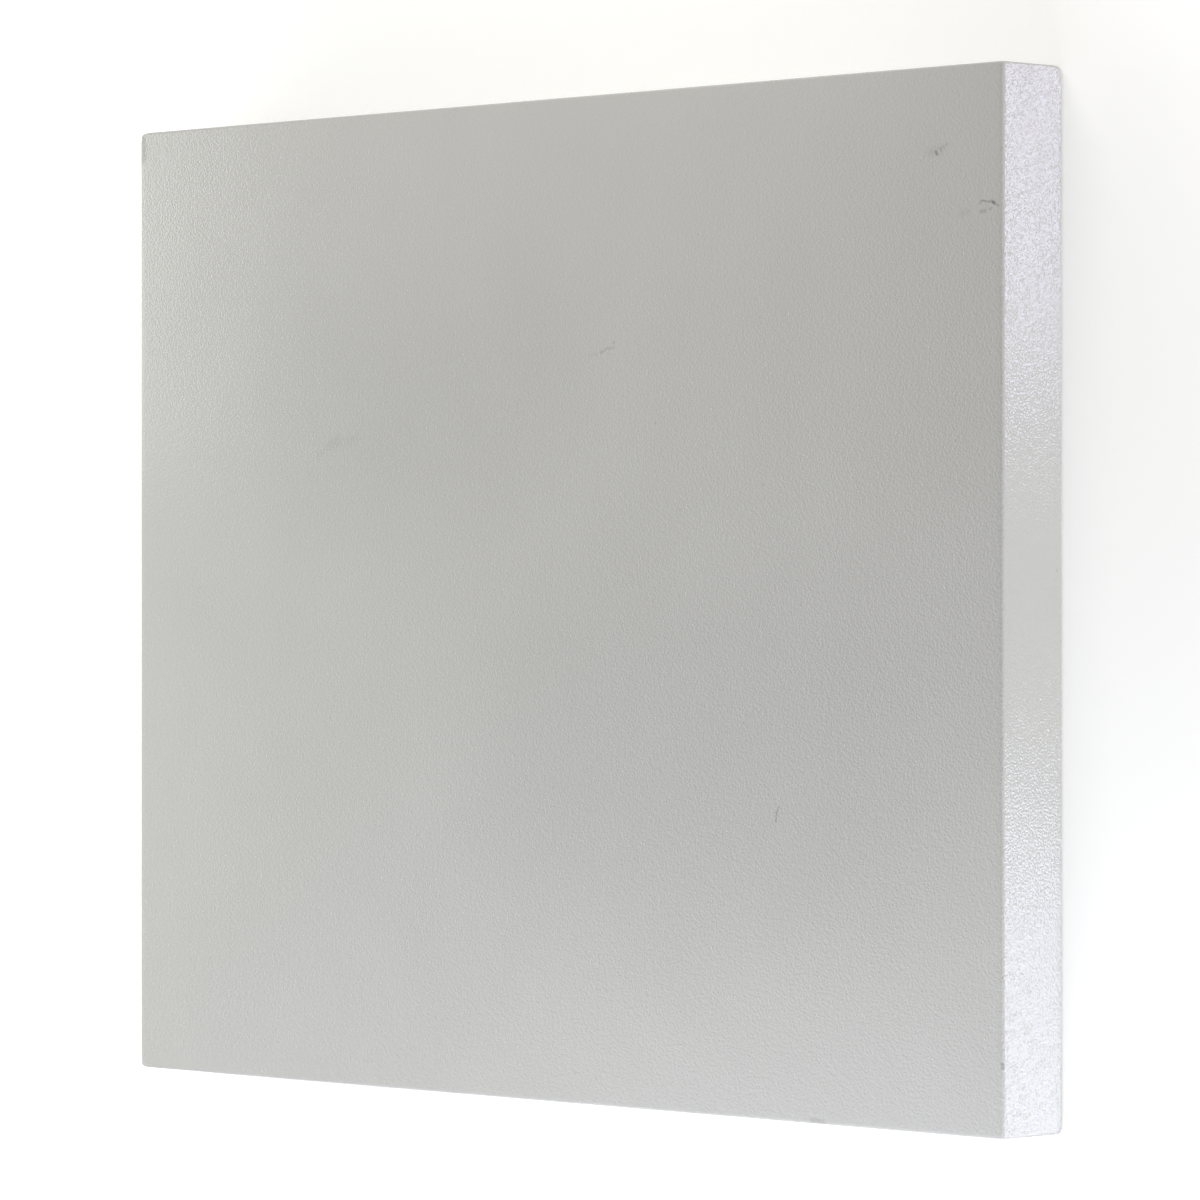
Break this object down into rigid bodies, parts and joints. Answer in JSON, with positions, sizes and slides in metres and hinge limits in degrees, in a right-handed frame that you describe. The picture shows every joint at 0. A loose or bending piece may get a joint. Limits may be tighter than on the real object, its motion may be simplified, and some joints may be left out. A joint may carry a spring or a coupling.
{
  "type": "foam insulation board",
  "caption": "Rigid foam board for thermal insulation, a flat rectangular slab with square edges and a white pebbled skin on its faces and edges.",
  "frame": {"origin": "middle of the back face, on which the board lies", "axes": "+X along the length, +Y along the width, +Z through the thickness, out of the front face"},
  "size_m": [0.375, 0.3, 0.025],
  "materials": {
    "foam_skin": "white moulded foam skin, satin, with a fine pebbled grain that repeats about every 1.2 mm"
  },
  "bodies": {
    "root": {"insulation_board": "foam_skin"}
  },
  "joints": []
}
